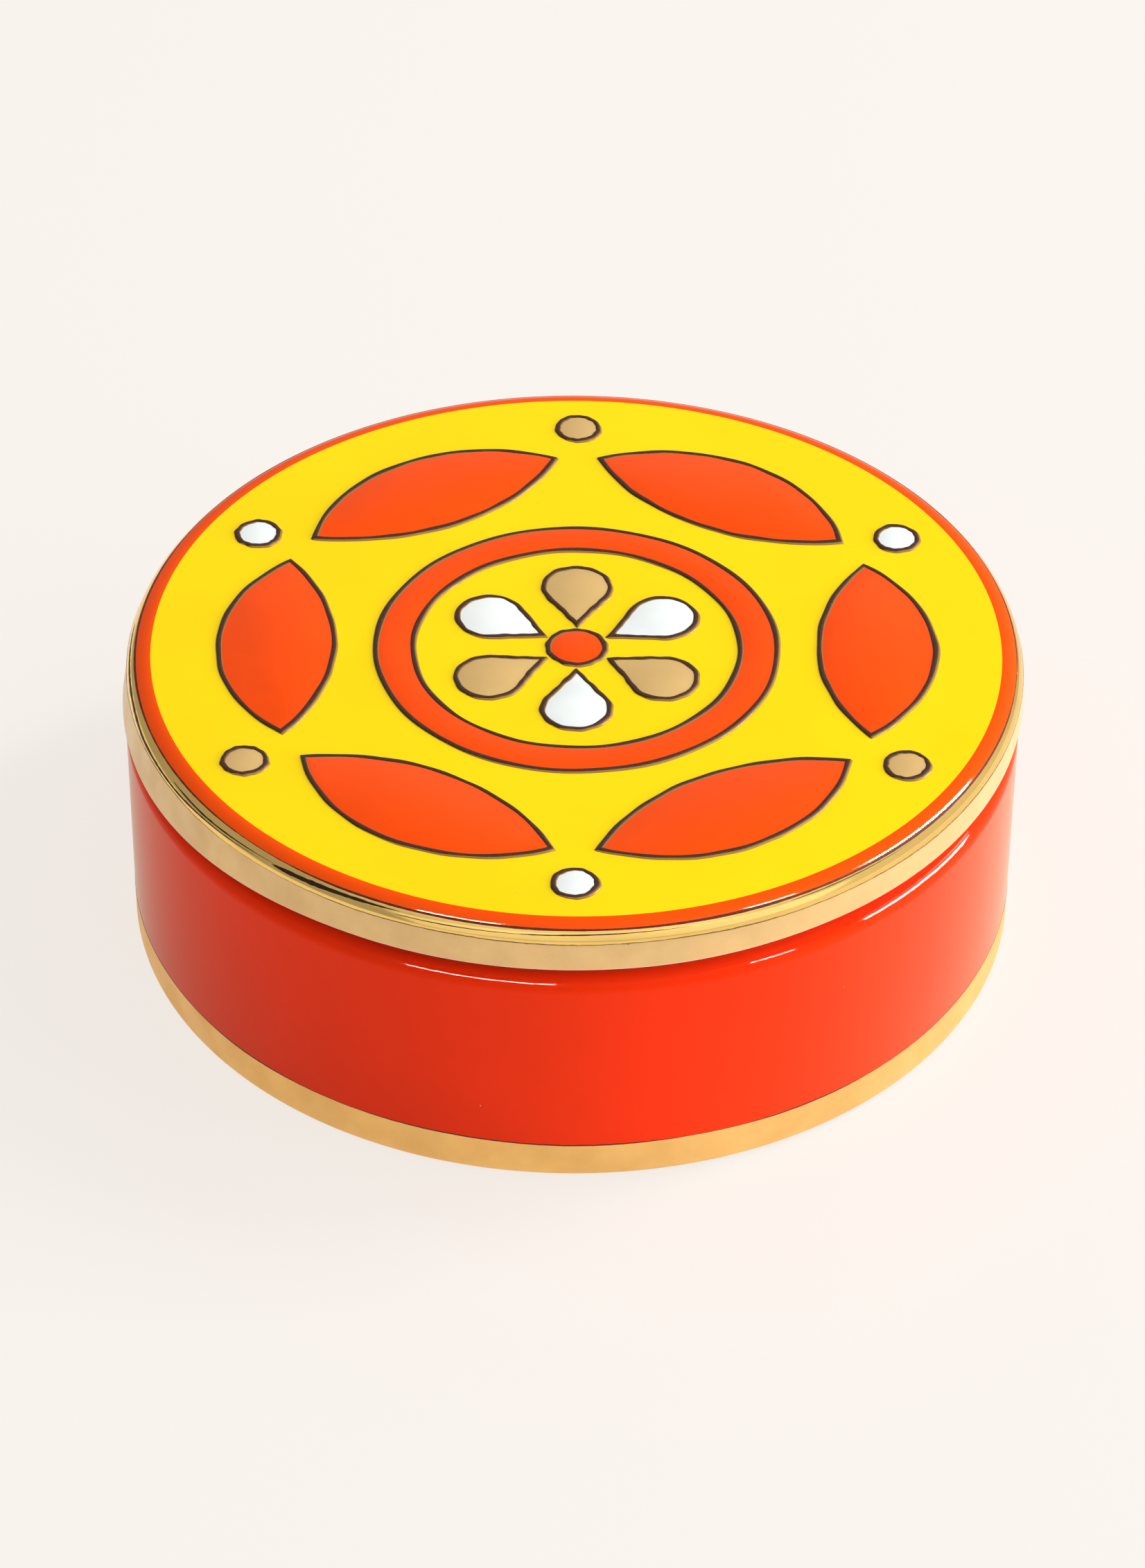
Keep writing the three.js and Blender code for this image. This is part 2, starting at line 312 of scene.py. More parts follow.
def gold(name, base, shine):
    """Fired gold lustre: cloudy tone, fine grain, small dark pits where the gold is missing."""
    made, tree, where = material(name)
    cloud = tree.noise(where, 14, detail=4, roughness=0.6)
    fine = tree.noise(where, 0.45, detail=4, roughness=0.7)
    mixed = tree.blend(tree.spread(cloud, 0.3, 0.7), shaded(base, 0.93), shaded(base, 1.04))
    mixed = tree.blend(tree.spread(fine, 0.55, 0.8, 0, 0.4), mixed, shaded(base, 0.78))
    holes = specks(tree, where, spacing=shine["holes"], radius=0.04, chance=0.45)
    mixed = tree.blend(tree.math("MULTIPLY", holes, 0.8), mixed, colour(72, 44, 20))
    skin = tree.bump(tree.noise(where, shine["wave_size"], detail=2), shine["wave"])
    skin = tree.bump(fine, shine["grain"], skin)
    skin = tree.bump(tree.math("SUBTRACT", 1.0, holes), SPECK_DEPTH, skin)
    level = shine["roughness"]
    rough = tree.spread(tree.noise(where, 5, detail=4), 0.3, 0.7, level * 0.85, level * 1.2)
    surface(tree, {
        "Base Color": mixed,
        "Metallic": shine["metallic"],
        "Roughness": rough,
        "Coat Weight": shine["coat"],
        "Coat Roughness": 0.3,
        "Normal": skin,
    })
    return made


def enamel(name, base, tint=(1.0, 1.0, 1.0, 1.0), roughness=0.12, metallic=0.0):
    """Printed enamel: an even colour with a soft grain and a skin that rises and falls a little."""
    made, tree, where = material(name)
    tone = tree.noise(where, 9, detail=3)
    fine = tree.noise(where, 0.5, detail=3, roughness=0.6)
    mixed = tree.blend(tree.spread(tone, 0.35, 0.65), shaded(base, 0.96), base)
    mixed = tree.blend(tree.spread(fine, 0.6, 0.75, 0, 0.3), mixed, shaded(base, 0.88))
    skin = tree.bump(tree.noise(where, 4), 0.015)
    skin = tree.bump(fine, 0.004, skin)
    surface(tree, {
        "Base Color": mixed,
        "Metallic": metallic,
        "Roughness": tree.spread(fine, 0.3, 0.7, roughness * 0.8, roughness * 1.3),
        "Specular IOR Level": 0.4,
        "Specular Tint": tint,
        "Normal": skin,
    })
    return made


def line_enamel(name, base, fleck):
    """The dark raised line: grainy, with warm flecks where gold shows through."""
    made, tree, where = material(name)
    fine = tree.noise(where, 0.28, detail=4, roughness=0.7)
    slow = tree.noise(where, 2.2, detail=3)
    mixed = tree.blend(tree.spread(fine, 0.35, 0.65), shaded(base, 0.55), shaded(base, 1.5))
    flecks = tree.math("MULTIPLY", tree.spread(fine, 0.58, 0.68), tree.spread(slow, 0.5, 0.62))
    mixed = tree.blend(tree.math("MULTIPLY", flecks, 0.6), mixed, fleck)
    surface(tree, {
        "Base Color": mixed,
        "Roughness": tree.spread(fine, 0.3, 0.7, 0.35, 0.6),
        "Specular IOR Level": 0.25,
        "Normal": tree.bump(fine, 0.03),
    })
    return made


def porcelain(name):
    """White porcelain, glossy where glazed, and matt and grainy on the bare rim, seat and foot ring."""
    made, tree, where = material(name)
    parts = tree.add("SeparateXYZ", {"Vector": where}).outputs
    flat = tree.add("CombineXYZ", {"X": parts["X"], "Y": parts["Y"]}).outputs[0]
    radius = tree.add("VectorMath", {0: flat}, operation="LENGTH").outputs["Value"]
    height = parts["Z"]
    wander = tree.spread(tree.noise(where, 6, detail=3), 0.0, 1.0, -0.25 * MM, 0.25 * MM, "LINEAR")

    def above(value, level, soft=0.15):
        value = tree.math("ADD", value, wander)
        return tree.spread(value, (level - soft) * MM, (level + soft) * MM)

    rim = tree.math("MULTIPLY", above(height, RIM_HEIGHT - BARE_RIM), above(radius, INNER_RADIUS - 0.3))
    foot = tree.math("SUBTRACT", 1.0, above(height, BARE_FOOT))
    bare = tree.math("MAXIMUM", rim, foot)
    grain = tree.noise(where, 0.35, detail=4, roughness=0.7)
    tone = tree.noise(where, 22, detail=3)
    white = tree.blend(tree.spread(tone, 0.35, 0.65), colour(240, 237, 230), colour(247, 245, 240))
    biscuit = tree.blend(tree.spread(grain, 0.4, 0.7), colour(240, 233, 222), colour(226, 216, 202))
    mixed = tree.blend(bare, white, biscuit)
    dots = specks(tree, where, spacing=6.5, radius=0.02, chance=0.35)
    mixed = tree.blend(tree.math("MULTIPLY", dots, 0.6), mixed, colour(120, 100, 84))
    skin = tree.bump(tree.noise(where, 8), 0.02)
    skin = tree.bump(tree.math("MULTIPLY", grain, bare), 0.03, skin)
    surface(tree, {
        "Base Color": mixed,
        "Roughness": tree.spread(bare, 0.0, 1.0, 0.1, 0.6, "LINEAR"),
        "Specular IOR Level": 0.4,
        "Normal": skin,
    })
    return made


# How gold shines: holes is the spacing of its pits, and wave and grain are heights, all in millimetres
GLOSSY = {
    "metallic": 1.0,
    "roughness": 0.12,
    "wave": 0.05,
    "wave_size": 9,
    "grain": 0.003,
    "holes": 3.4,
    "coat": 0.0,
}
SATIN = {
    "metallic": 0.55,
    "roughness": 0.5,
    "wave": 0.03,
    "wave_size": 6,
    "grain": 0.015,
    "holes": 9.0,
    "coat": 0.6,
}
FOOT_SATIN = {**SATIN, "metallic": 0.7, "coat": 0.0}

# How glaze shines: a weak gloss under a thin clear coat, and on the wall a warm sheen towards its sides
CLEAR = {"Coat Weight": 0.11, "Coat IOR": 2.0, "Coat Roughness": 0.03}
BORDER_SHINE = {**CLEAR, "IOR": 1.2}
WALL_SHINE = {
    **CLEAR,
    "Coat Weight": 0.06,
    "IOR": 1.08,
    "Sheen Weight": 0.88,
    "Sheen Roughness": 0.35,
    "Sheen Tint": (1.0, 0.74, 0.5, 1.0),
}
WARM_TINT = (1.0, 0.4, 0.0, 1.0)
YELLOW_TINT = (1.0, 0.85, 0.1, 1.0)
NECK_PAINTED_SHADE = (43.7, 44.5, 0.55)  # painted shade under the lid: the wall's glaze darker towards the neck

PORCELAIN = porcelain("porcelain")
ORANGE_GLAZE = glaze("orange_glaze", colour(252, 50, 0), WARM_TINT, WALL_SHINE, NECK_PAINTED_SHADE)
BORDER_GLAZE = glaze("border_glaze", colour(252, 80, 0), WARM_TINT, BORDER_SHINE)
YELLOW_GLAZE = glaze("yellow_glaze", colour(254, 218, 4), YELLOW_TINT, {"IOR": 1.5})
ORANGE_ENAMEL = enamel("orange_enamel", colour(254, 78, 12), WARM_TINT)
WHITE_ENAMEL = enamel("white_enamel", colour(238, 244, 242))
TAN_ENAMEL = enamel("tan_enamel", colour(230, 190, 122), roughness=0.35, metallic=0.3)
# Painted highlight: the pale line on the lid's rounded lower edge, where light catches it
PAINTED_EDGE_HIGHLIGHT = enamel("painted_edge_highlight", colour(255, 232, 200), roughness=0.3)
BROWN_GOLD = enamel("brown_gold", colour(164, 122, 62), roughness=0.35, metallic=0.3)
LINE_ENAMEL = line_enamel("outline_enamel", colour(66, 40, 26), colour(150, 112, 78))
EDGE_LINE = line_enamel("edge_line", colour(92, 34, 18), colour(150, 70, 30))
OLIVE_LINE = line_enamel("olive_line", colour(128, 92, 44), colour(190, 150, 88))
# Painted reflection: dark lines in the glossy gold where it would mirror a dark band
PAINTED_REFLECTION = line_enamel("painted_dark_reflection", colour(46, 24, 8), colour(110, 76, 30))
GLOSS_GOLD = gold("gloss_gold", colour(255, 210, 122), GLOSSY)
SATIN_GOLD = gold("satin_gold", colour(244, 202, 134), SATIN)
FOOT_GOLD = gold("foot_gold", colour(252, 200, 118), FOOT_SATIN)


# Meshes

def arc(radius, height, arc_radius, start, end, steps=ARC_STEPS):
    """Points of an arc about a centre, its angles in degrees from the first axis."""
    angles = [start + (end - start) * i / steps for i in range(steps + 1)]
    return [(radius + arc_radius * cosine(a), height + arc_radius * sine(a)) for a in angles]


def finished(name, vertices, faces, sharp=32):
    """A mesh in metres, smooth but for edges sharper than an angle in degrees."""
    mesh = bpy.data.meshes.new(name)
    mesh.from_pydata([[value * MM for value in v] for v in vertices], [], faces)
    mesh.polygons.foreach_set("use_smooth", [True] * len(faces))
    mesh.set_sharp_from_angle(angle=math.radians(sharp))
    mesh.update()
    return mesh


def true_form(turn, radius, height):
    """A point of a turned form, at a turn in degrees."""
    return (radius * cosine(turn), radius * sine(turn), height)


def clamped(value):
    return min(1.0, max(0.0, value))


def waver(rng, strength):
    """A smooth closed wave round an outline, from a few sines."""
    parts = [(count, rng.uniform(0, TAU), rng.uniform(0.4, 1) * strength) for count in (2, 3, 5, 9, 14)]

    def at(share):
        return sum(size * math.sin(TAU * count * share + phase) for count, phase, size in parts) / 2
    return at


def lid_form(turn, radius, height):
    """The same point on the lid, whose top sits off centre and whose lower edge sags in two places."""
    across = LID_OFF_CENTRE * clamped((height - SKIRT_HEIGHT) / (LID_TOP - SKIRT_HEIGHT))
    sag = 0.0
    for depth, middle, full, end in SAGS:
        away = abs(turn - middle)
        share = clamped((end - min(away, 360 - away)) / (end - full))
        sag += depth * share * share * (3 - 2 * share)
    if radius < SEAT_OUTER + SKIRT_RELIEF - 0.01:  # the seat and the ring don't sag
        sag = 0.0
    hang = clamped((SIDE_TOP - height) / SIDE_HEIGHT)
    return (across + radius * cosine(turn), radius * sine(turn), height - sag * hang)


def turned(name, profile, closed=False, form=true_form):
    """A mesh turned about Z from radii and heights, out along the underside and up the outside."""
    vertices, faces, rings = [], [], []
    for radius, height in profile:
        count = 1 if radius < 1e-6 else AROUND
        rings.append(range(len(vertices), len(vertices) + count))
        for i in range(count):
            vertices.append(form(360 * i / AROUND, radius, height))
    pairs = list(zip(rings, rings[1:]))
    if closed:
        pairs.append((rings[-1], rings[0]))
    for low, high in pairs:
        for i in range(AROUND):
            j = (i + 1) % AROUND
            corners = [low[i % len(low)], low[j % len(low)], high[j % len(high)], high[i % len(high)]]
            faces.append(list(dict.fromkeys(corners)))
    return finished(name, vertices, faces)


def layer(name, outer, inner, form=true_form):
    """A thin closed ring between an outer and an inner profile."""
    return turned(name, [*outer, *reversed(inner)], True, form)


# A raised line's section, as shares of its width and of how proud it stands
LINE_SECTION = [(-0.5, -0.3), (-0.5, 0.4), (-0.2, 1), (0.2, 1), (0.5, 0.4), (0.5, -0.3)]


def line_round(name, path, start=0, end=360, form=true_form):
    """A thin raised line round a turned form, from one turn in degrees to another.

    path gives, at a turn: radius, height, the normal's rise in degrees, width and how proud it stands.
    """
    whole = end - start >= 360
    steps = max(8, round(AROUND * 2 * (end - start) / 360))
    count = len(LINE_SECTION)
    vertices, faces = [], []
    for i in range(steps if whole else steps + 1):
        turn = start + (end - start) * i / steps
        radius, height, lean, width, proud = path(turn)
        for along, out in LINE_SECTION:
            a, o = along * width, out * proud
            r = radius + o * cosine(lean) - a * sine(lean)
            z = height + o * sine(lean) + a * cosine(lean)
            vertices.append(form(turn, r, z))
    rings = len(vertices) // count
    for i in range(rings if whole else rings - 1):
        here, there = i * count, ((i + 1) % rings) * count
        for k in range(count):
            j = (k + 1) % count
            faces.append([here + k, there + k, there + j, here + j])
    if not whole:
        faces.append(list(range(count)))
        faces.append([(rings - 1) * count + k for k in reversed(range(count))])
    return finished(name, vertices, faces)


def piece(mesh, body, look, slot, *nodes):
    """An object for a mesh, riding on a CAD body and standing for CAD nodes."""
    made = bpy.data.objects.new(mesh.name, mesh)
    bpy.context.scene.collection.objects.link(made)
    mesh.materials.append(look)
    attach(made, body)
    if nodes:
        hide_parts(*nodes)


# The base

def wall_radius(height):
    """The outside of the wall between its foot and its shoulder."""
    return BODY_RADIUS - FOOT_TAPER * (SHOULDER_HEIGHT - height) / (SHOULDER_HEIGHT - FOOT_ROUND)


def foot_profile(inset):
    radius = wall_radius(FOOT_ROUND) - inset
    rounded = arc(radius - FOOT_ROUND, FOOT_ROUND, FOOT_ROUND, -EDGE_ANGLE, 0)
    return [*rounded, (wall_radius(FOOT_BAND) - inset, FOOT_BAND)]


def wall_profile(inset, bottom):
    """Up the wall, round to the ledge, and up the neck."""
    round_at = BODY_RADIUS - SHOULDER_RADIUS
    fillet_at = NECK_RADIUS + NECK_FILLET
    across = fillet_at - round_at
    apart = SHOULDER_RADIUS + NECK_FILLET
    fillet_height = SHOULDER_HEIGHT + (apart - across * cosine(SHOULDER_ANGLE)) / sine(SHOULDER_ANGLE)
    return [
        (wall_radius(bottom) - inset, bottom),
        *arc(round_at, SHOULDER_HEIGHT, SHOULDER_RADIUS - inset, 0, SHOULDER_ANGLE, SHOULDER_STEPS),
        *arc(fillet_at, fillet_height, NECK_FILLET + inset, 180 + SHOULDER_ANGLE, 180, FILLET_STEPS),
        (NECK_RADIUS - inset, RIM_HEIGHT - GLAZE_STOP),
    ]


def base_body():
    foot_outer = wall_radius(FOOT_ROUND) - FOOT_ROUND
    foot_inner = foot_outer - FOOT_RING
    fillet = INNER_RADIUS - INSIDE_FILLET
    return turned("porcelain_base", [
        (0, FOOT_RECESS),
        (foot_inner - FOOT_RECESS, FOOT_RECESS),
        (foot_inner - FOOT_BEVEL, FOOT_BEVEL),
        (foot_inner, FOOT_BEVEL_RISE),
        (foot_inner + FOOT_BEVEL, 0),
        (foot_outer, 0),
        *foot_profile(UNDER_GOLD),
        *wall_profile(UNDER_GLAZE, FOOT_BAND),
        (NECK_RADIUS - UNDER_GLAZE - RIM_BEVEL, RIM_HEIGHT),
        *arc(INNER_RADIUS + RIM_INNER_ROUND, RIM_HEIGHT - RIM_INNER_ROUND, RIM_INNER_ROUND, 90, 180),
        *arc(fillet, FLOOR_HEIGHT + INSIDE_FILLET, INSIDE_FILLET, 0, -90),
        (0, FLOOR_HEIGHT),
    ])


def base_pieces():
    bottom = FOOT_BAND + LAYER_GAP
    piece(base_body(), "base", PORCELAIN, "porcelain", "base_body")
    wall = layer("wall_glaze", wall_profile(0, bottom), wall_profile(GLAZE, bottom))
    piece(wall, "base", ORANGE_GLAZE, "orange_glaze", "base_orange_glaze")
    foot = layer("foot_gold", foot_profile(0), foot_profile(GOLD))
    piece(foot, "base", FOOT_GOLD, "satin_gold", "foot_gold_band")
    rng = random.Random(3)
    rise = waver(rng, 0.12)
    wide = waver(rng, 0.6)

    def path(turn):
        width, proud = FOOT_LINE
        height = FOOT_BAND + rise(turn / 360) + rng.uniform(-0.03, 0.03)
        return (wall_radius(height), height, 0, width * (1 + wide(turn / 360)), proud)

    piece(line_round("foot_line", path), "base", EDGE_LINE, "outline_enamel")


# The lid

def lower_round(inset, start, end, steps=ARC_STEPS):
    """Part of the rounded lower edge, from one angle to another in degrees from level."""
    centre = LID_RADIUS - inset - LID_EDGE_ROUND
    return arc(centre, SKIRT_HEIGHT + LID_EDGE_ROUND, LID_EDGE_ROUND, start, end, steps)


def side_profile(inset):
    return [*lower_round(inset, -EDGE_ANGLE, SIDE_LEAN), (LID_RADIUS - inset - SIDE_FALL, SIDE_TOP)]


def corner_profile(inset):
    radius = CORNER_RADIUS - inset
    points = arc(CORNER_CENTRE, CORNER_HEIGHT, radius, SIDE_LEAN, 90 - CROWN_ANGLE, CORNER_STEPS)
    return [(points[0][0], SIDE_TOP + LAYER_GAP), *points[1:]]


def crown_profile(inset):
    return arc(FLAT_RADIUS, CROWN_HEIGHT, CROWN_RADIUS - inset, 90 - CROWN_ANGLE, 90, CROWN_STEPS)


def lid_body():
    underside = LID_TOP - LID_THICKNESS
    ring_outer = INNER_RADIUS - RING_PLAY
    ring_inner = ring_outer - RING_THICKNESS
    ring_round = RIM_HEIGHT - RING_HEIGHT + RING_ROUND
    skirt_outer = LID_RADIUS - LID_EDGE_ROUND
    return turned("porcelain_lid", [
        (0, underside),
        *arc(ring_inner - LID_FILLET, underside - LID_FILLET, LID_FILLET, 90, 0),
        *arc(ring_inner + RING_ROUND, ring_round, RING_ROUND, 180, 270),
        *arc(ring_outer - RING_ROUND, ring_round, RING_ROUND, -90, 0),
        (ring_outer, RIM_HEIGHT),
        (SEAT_OUTER, RIM_HEIGHT),
        (SEAT_OUTER + SKIRT_RELIEF, SKIRT_HEIGHT),
        (skirt_outer, SKIRT_HEIGHT),
        *side_profile(UNDER_GOLD),
        *corner_profile(UNDER_GLAZE)[1:],
        *crown_profile(UNDER_GLAZE)[1:],
        (0, LID_TOP - UNDER_GLAZE),
    ], form=lid_form)


def on_corner(angle):
    """Radius and height on the corner round, at an angle in degrees from level."""
    return arc(CORNER_CENTRE, CORNER_HEIGHT, CORNER_RADIUS, angle, angle, 1)[0]


def lid_pieces():
    piece(lid_body(), "lid", PORCELAIN, "porcelain", "lid_body")
    section = [(0, LID_TOP - GLAZE), (FLAT_RADIUS, LID_TOP - GLAZE), (FLAT_RADIUS, LID_TOP), (0, LID_TOP)]
    field = turned("lid_top_glaze", section, False, lid_form)
    piece(field, "lid", YELLOW_GLAZE, "yellow_glaze", "lid_yellow_field")
    border = layer("border_glaze_ring", crown_profile(0), crown_profile(GLAZE), lid_form)
    piece(border, "lid", BORDER_GLAZE, "border_glaze", "lid_orange_border")
    corner = layer("edge_gold_glossy", corner_profile(0), corner_profile(GLAZE), lid_form)
    piece(corner, "lid", GLOSS_GOLD, "gloss_gold", "lid_glazed_gold_band")
    side = layer("edge_gold_satin", side_profile(0), side_profile(GOLD), lid_form)
    piece(side, "lid", SATIN_GOLD, "satin_gold", "lid_bare_gold_band")
    lid_lines()


# Painted reflections: dark streaks in the glossy gold that stand for a dark band it mirrors. Points, as
# turns and angles on the corner round, and the greatest width
STREAKS = [
    ([(174, 36), (184, 33), (191, 30), (198, 22), (210, 21), (220, 25), (227, 30)], 0.55),
    ([(229, 33), (234, 36), (241, 41), (248, 44)], 0.8),
    ([(208, 36), (216, 33), (224, 36), (230, 38)], 0.3),
    ([(247, 33), (256, 35), (266, 38)], 0.16),
    ([(263, 37), (270, 41), (278, 43), (285, 43)], 0.24),
    ([(298, 47), (308, 48), (318, 47)], 0.14),
    ([(20, 30), (45, 36), (75, 34)], 0.16),
    ([(96, 34), (120, 30), (150, 28)], 0.2),
]


def lid_lines():
    """The border's dark edge, the fine line where the glaze ends, a painted highlight on the lower edge
    and streaks of painted reflection.
    """
    rng = random.Random(5)
    wide = waver(rng, 0.4)
    rise = waver(rng, 0.1)
    lean = 90 - CROWN_ANGLE

    def border(turn):
        width, proud = BORDER_LINE
        width = width * (1 + wide(turn / 360)) + rng.uniform(-0.04, 0.04)
        return (*on_corner(lean), lean, width, proud)

    def glaze_end(turn):
        height = SIDE_TOP + 0.03 + rise(turn / 360) + rng.uniform(-0.04, 0.04)
        width, proud = GLAZE_END_LINE
        width = width * (1 + 1.5 * wide(turn / 360)) + rng.uniform(-0.03, 0.05)
        return (LID_RADIUS - SIDE_FALL + BARE_STEP, height, SIDE_LEAN, max(THINNEST_LINE, width), proud)

    # Painted highlight along the rounded lower edge
    def lower_edge(turn):
        width, proud = LOWER_LINE
        width = width * (1 + wide(turn / 360)) + rng.uniform(-0.02, 0.02)
        return (*lower_round(0, LOWER_LINE_ANGLE, LOWER_LINE_ANGLE, 1)[0], LOWER_LINE_ANGLE, width, proud)

    piece(line_round("border_line", border, form=lid_form), "lid", EDGE_LINE, "outline_enamel")
    piece(line_round("lid_lower_highlight", lower_edge, form=lid_form), "lid", PAINTED_EDGE_HIGHLIGHT, "satin_gold")
    piece(line_round("glaze_end_line", glaze_end, form=lid_form), "lid", OLIVE_LINE, "outline_enamel")
    for i, (points, widest) in enumerate(STREAKS):
        streak_piece(f"painted_reflection_streak_{i + 1}", points, widest, rng)


def streak_piece(name, points, widest, rng):
    """A streak of painted reflection through points, thickest a third of the way along and drawn out to
    its end.
    """
    start, end = points[0][0], points[-1][0]

    def path(turn):
        before = max(i for i, point in enumerate(points[:-1]) if point[0] <= turn + 1e-6)
        first, last = points[before], points[before + 1]
        step = (turn - first[0]) / (last[0] - first[0])
        angle = first[1] + (last[1] - first[1]) * step + rng.uniform(-0.2, 0.2)
        share = min(1.0, (turn - start) / (end - start))
        width = widest * math.sin(math.pi * share ** 0.6) ** 0.8 * rng.uniform(0.75, 1.1) + 0.01
        return (*on_corner(angle), angle, width, STREAK_PROUD)

    piece(line_round(name, path, start, end, lid_form), "lid", PAINTED_REFLECTION, "outline_enamel")


# Motifs
# An outline is a list of points about the middle of the lid, on the +X side, grown by a margin.

def disc_outline(centre, radius, steps=DISC_STEPS):
    return arc(centre, 0, radius, 0, 360 - 360 / steps, steps - 1)


def eye_outline(margin):
    return disc_outline(0, EYE_RADIUS + margin)


def disc_at_orbit(margin):
    return disc_outline(DISC_ORBIT, DISC_RADIUS + margin)


def between(first, last, steps):
    """Points on the way from one point to another, without the two."""
    shares = [i / steps for i in range(1, steps)]
    return [(first[0] + (last[0] - first[0]) * s, first[1] + (last[1] - first[1]) * s) for s in shares]


def petal_outline(margin):
    lean = math.degrees(math.asin(PETAL_ROUND / (PETAL_ORBIT - PETAL_START)))
    turn = 90 + lean
    tip = (PETAL_START - margin / sine(lean), 0)
    end = arc(PETAL_ORBIT, 0, PETAL_ROUND + margin, -turn, turn, PETAL_STEPS)
    return [tip, *between(tip, end[0], SIDE_STEPS), *end, *between(end[-1], tip, SIDE_STEPS)]


def bow_radius(chord, rise):
    return chord * chord / (8 * rise) + rise / 2


def leaf_outline(margin):
    """What two circles share: one bounds the leaf's outer edge, the other its inner edge."""
    near_radius = bow_radius(LEAF_LENGTH, LEAF_OUTER_RISE)
    far_radius = bow_radius(LEAF_LENGTH, LEAF_INNER_RISE)
    near = LEAF_ORBIT + LEAF_OUTER_RISE - near_radius
    far = LEAF_ORBIT - LEAF_INNER_RISE + far_radius
    near_radius += margin
    far_radius += margin
    apart = far - near
    reach = (apart * apart + near_radius * near_radius - far_radius * far_radius) / (2 * apart)
    near_turn = math.degrees(math.acos(reach / near_radius))
    far_turn = math.degrees(math.acos((apart - reach) / far_radius))
    outer = arc(near, 0, near_radius, -near_turn, near_turn, LEAF_STEPS)
    inner = arc(far, 0, far_radius, 180 - far_turn, 180 + far_turn, LEAF_STEPS)
    return [*outer, *inner[1:-1]]


def hand_drawn(draw, rng):
    """Points of an outline at any margin, with the slight wander of a line drawn by hand."""
    middle, grown = draw(0), draw(1)
    path = waver(rng, DRAWN_WANDER)
    width = waver(rng, DRAWN_SWELL)
    count = len(middle)

    def at(margin):
        points = []
        for i, (here, out) in enumerate(zip(middle, grown)):
            share = i / count
            reach = margin * (1 + width(share)) + path(share)
            points.append((here[0] + (out[0] - here[0]) * reach, here[1] + (out[1] - here[1]) * reach))
        return points
    return at


def skin(name, loops, capped):
    """A closed mesh through loops of points, from first to last, capped or else joined in a ring."""
    count = len(loops[0])
    vertices = [point for loop in loops for point in loop]
    faces = []
    pairs = list(zip(range(len(loops)), range(1, len(loops))))
    if not capped:
        pairs.append((len(loops) - 1, 0))
    for low, high in pairs:
        for i in range(count):
            j = (i + 1) % count
            faces.append([low * count + i, low * count + j, high * count + j, high * count + i])
    if capped:
        faces.append(list(reversed(range(count))))
        faces.append(list(range((len(loops) - 1) * count, len(loops) * count)))
    return finished(name, vertices, faces, sharp=50)


def placed(points, height, turn=0.0, shift=(0.0, 0.0)):
    """Outline points at a height, turned round the lid and then shifted."""
    c, s = cosine(turn), sine(turn)
    across = LID_OFF_CENTRE + shift[0]
    return [(x * c - y * s + across, x * s + y * c + shift[1], height) for x, y in points]


# The edge of a motif's colour, as millimetres inward and a share of its height
COLOUR_SECTION = [(0.0, 0.0), (0.0, 0.55), (0.05, 0.85), (0.14, 1.0)]
# A line's section, as shares of its half width and its height
INK_SECTION = [(1, 0), (1, 0.4), (0.75, 0.82), (0.3, 1), (-0.3, 1), (-0.75, 0.82), (-1, 0.4), (-1, 0)]
# The gold line beside a dark one: how far it is shifted, and how high it stands
UNDER_SHIFT = (0.27, -0.24)
UNDER_HEIGHT = 0.225


def motif(name, draw, turn, look, slot, rng):
    """A motif's colour, the dark line round it and the gold line that shows beside the dark one."""
    half = INK_WIDTH / 2
    at = hand_drawn(draw, rng)
    loops = [placed(at(COLOUR_LAP - inset), LID_TOP + ENAMEL * up, turn) for inset, up in COLOUR_SECTION]
    piece(skin(name + "_colour", loops, True), "lid", look, slot, name)
    line = [placed(at(half * out), LID_TOP + OUTLINE * up, turn) for out, up in INK_SECTION]
    piece(skin(name + "_line", line, False), "lid", LINE_ENAMEL, "outline_enamel", name + "_outline")
    under_line(name, at, turn)


def under_line(name, at, turn):
    """The gold line beside a dark one."""
    loops = []
    for out, up in INK_SECTION:
        loops.append(placed(at(INK_WIDTH / 2 * out), LID_TOP + UNDER_HEIGHT * up, turn, UNDER_SHIFT))
    piece(skin(name + "_gold_line", loops, False), "lid", BROWN_GOLD, "tan_gold")


def halo(rng):
    """The band of colour between two lines, round the rosette."""
    half = INK_WIDTH / 2
    lines = {}
    for name, radius in (("halo_inner", HALO_INNER), ("halo_outer", HALO_OUTER)):
        lines[name] = hand_drawn(lambda margin, r=radius: disc_outline(0, r + margin, CIRCLE_STEPS), rng)
    section = [(lines["halo_outer"], -inset, up) for inset, up in COLOUR_SECTION]
    section += [(lines["halo_inner"], inset, up) for inset, up in reversed(COLOUR_SECTION)]
    loops = [placed(at(margin), LID_TOP + ENAMEL * up) for at, margin, up in section]
    piece(skin("halo_colour", loops, False), "lid", ORANGE_ENAMEL, "orange_enamel", "halo")
    for name, at in lines.items():
        line = [placed(at(half * out), LID_TOP + OUTLINE * up) for out, up in INK_SECTION]
        piece(skin(name + "_line", line, False), "lid", LINE_ENAMEL, "outline_enamel", name + "_outline")
        under_line(name, at, 0)


def motifs():
    rng = random.Random(11)
    step = 360 / LEAF_COUNT
    orange = (ORANGE_ENAMEL, "orange_enamel")
    pair = [(WHITE_ENAMEL, "white_enamel"), (TAN_ENAMEL, "tan_gold")]
    motif("eye", eye_outline, 0, *orange, rng)
    halo(rng)
    for i in range(PETAL_COUNT):
        motif(f"petal_{i + 1}", petal_outline, step / 2 + step * i, *pair[i % 2], rng)
    for i in range(LEAF_COUNT):
        motif(f"leaf_{i + 1}", leaf_outline, step * i, *orange, rng)
        motif(f"disc_{i + 1}", disc_at_orbit, step / 2 + step * i, *pair[i % 2], rng)


# The studio

# Places and distances here are in metres, and angles in degrees.

